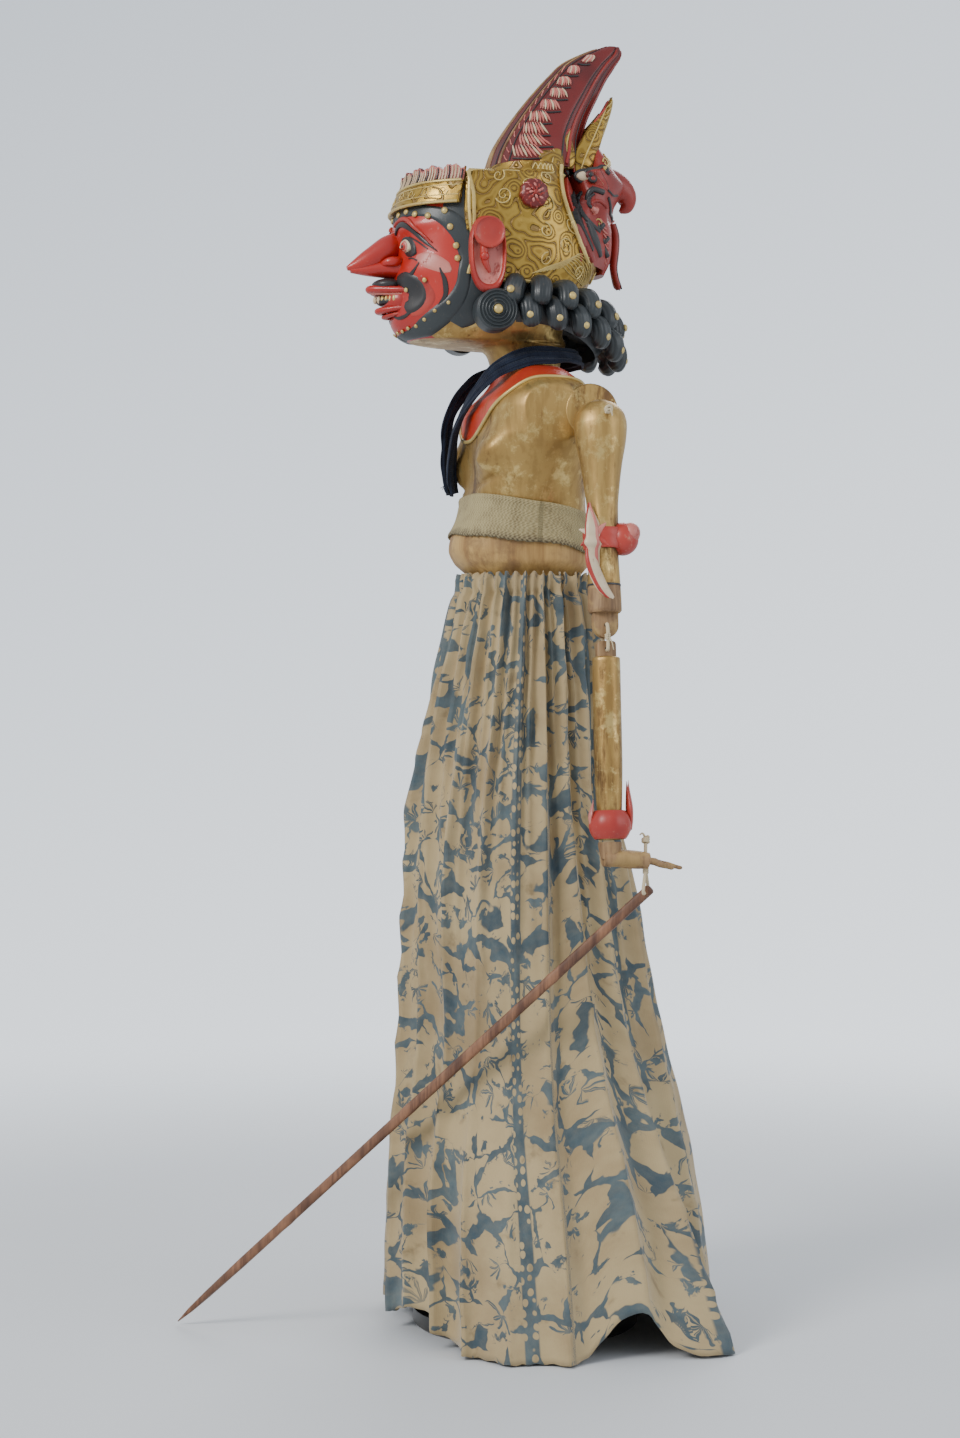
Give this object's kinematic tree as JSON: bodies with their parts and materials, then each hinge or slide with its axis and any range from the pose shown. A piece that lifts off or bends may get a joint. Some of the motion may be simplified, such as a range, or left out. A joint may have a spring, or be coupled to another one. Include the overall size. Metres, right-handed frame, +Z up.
{
  "type": "rod puppet",
  "caption": "Carved wooden rod puppet with a turning head, string-tied arms on hand rods, chest band, scarf and long gathered cloth skirt, on a round stand",
  "frame": {"origin": "centre of the stand's underside, on the surface it stands on", "axes": "+Z up along the central rod; the puppet faces -Y; its own left arm is on +X"},
  "size_m": [0.4236, 0.2644, 0.6383],
  "materials": {
    "stand_black": "black lacquer, satin, rubbed at the edge",
    "rod_wood": "bare bamboo and hardwood, oiled by handling",
    "gold_skin": "worn gold paint over carved wood",
    "woven_band": "coarse woven tape with a frayed edge",
    "batik_cloth": "cotton with an indigo resist pattern",
    "navy_cloth": "dark navy cotton",
    "red_face": "glossy red paint with black and gold details",
    "carved_gold": "gold paint over incised scrolls, dark in the cuts",
    "crest_red": "dark red paint with rose and black strokes",
    "ribbon_red": "red paint, worn",
    "curl_black": "charcoal paint over fine grooves, gold dots",
    "ear_coral": "coral red paint with a rose wash",
    "bangle_coral": "coral red paint, worn to rose at the edges",
    "bare_wood": "bare wood with traces of gold",
    "string": "twisted cotton string"
  },
  "bodies": {
    "stand": {"display_stand": "stand_black"},
    "torso": {"torso": "gold_skin", "chest_band": "woven_band", "skirt": "batik_cloth", "neck_scarf": "navy_cloth"},
    "head": {"central_rod": "rod_wood", "head_block": "red_face", "crown_band": "carved_gold", "crown_cap": "carved_gold", "crest": "crest_red", "rear_mask": "crest_red", "mask_horns": "carved_gold", "back_ribbon": "ribbon_red", "nape_curls": "curl_black", "left_ear": "ear_coral", "right_ear": "ear_coral", "left_ear_stud": "ear_coral", "right_ear_stud": "ear_coral", "left_side_curl": "curl_black", "right_side_curl": "curl_black", "left_rosette": "ear_coral", "right_rosette": "ear_coral"},
    "left_shoulder": {"left_shoulder_string": "string"},
    "left_upper_arm": {"left_arm_knot": "string", "left_upper_arm": "gold_skin", "left_armlet": "bangle_coral"},
    "left_forearm": {"left_elbow_loop": "string", "left_forearm": "gold_skin", "left_bracelet": "bangle_coral", "left_hand": "bare_wood"},
    "left_hand_string": {"left_hand_string": "string"},
    "left_rod": {"left_hand_rod": "rod_wood"},
    "right_shoulder": {"right_shoulder_string": "string"},
    "right_upper_arm": {"right_arm_knot": "string", "right_upper_arm": "gold_skin", "right_armlet": "bangle_coral"},
    "right_forearm": {"right_elbow_loop": "string", "right_forearm": "gold_skin", "right_bracelet": "bangle_coral", "right_hand": "bare_wood"},
    "right_hand_string": {"right_hand_string": "string"},
    "right_rod": {"right_hand_rod": "rod_wood"}
  },
  "joints": [
    {"name": "lift_off", "type": "slide", "parent": "stand", "child": "torso", "axis": [0, 0, 1], "range_m": [0, 0.015]},
    {"name": "head_turn", "type": "hinge", "parent": "torso", "child": "head", "pos_m": [0, 0, 0.475], "axis": [0, 0, 1], "continuous": true},
    {"name": "left_shoulder_swing", "type": "hinge", "parent": "torso", "child": "left_shoulder", "pos_m": [0.0555, 0.0195, 0.45], "axis": [-1, 0, 0], "range_deg": [0, 120]},
    {"name": "left_shoulder_lift", "type": "hinge", "parent": "left_shoulder", "child": "left_upper_arm", "pos_m": [0.0555, 0.0195, 0.45], "axis": [0, -1, 0], "range_deg": [0, 80]},
    {"name": "left_elbow_bend", "type": "hinge", "parent": "left_upper_arm", "child": "left_forearm", "pos_m": [0.07782, 0.0195, 0.34404], "axis": [-0.9962, 0, -0.0872], "range_deg": [0, 100]},
    {"name": "left_rod_turn", "type": "hinge", "parent": "left_forearm", "child": "left_hand_string", "pos_m": [0.08732, 0.03652, 0.21846], "axis": [0, 0, 1], "range_deg": [0, 80]},
    {"name": "left_rod_lift", "type": "hinge", "parent": "left_hand_string", "child": "left_rod", "pos_m": [0.08732, 0.03652, 0.21846], "axis": [-0.8746, 0.4848, 0], "range_deg": [0, 60]},
    {"name": "right_shoulder_swing", "type": "hinge", "parent": "torso", "child": "right_shoulder", "pos_m": [-0.0555, 0.0195, 0.45], "axis": [-1, 0, 0], "range_deg": [0, 120]},
    {"name": "right_shoulder_lift", "type": "hinge", "parent": "right_shoulder", "child": "right_upper_arm", "pos_m": [-0.0555, 0.0195, 0.45], "axis": [0, 1, 0], "range_deg": [0, 80]},
    {"name": "right_elbow_bend", "type": "hinge", "parent": "right_upper_arm", "child": "right_forearm", "pos_m": [-0.07782, 0.0195, 0.34404], "axis": [-0.9962, 0, 0.0872], "range_deg": [0, 100]},
    {"name": "right_rod_turn", "type": "hinge", "parent": "right_forearm", "child": "right_hand_string", "pos_m": [-0.08732, 0.03652, 0.21846], "axis": [0, 0, -1], "range_deg": [0, 80]},
    {"name": "right_rod_lift", "type": "hinge", "parent": "right_hand_string", "child": "right_rod", "pos_m": [-0.08732, 0.03652, 0.21846], "axis": [0.0698, 0.9976, 0], "range_deg": [0, 60]}
  ]
}
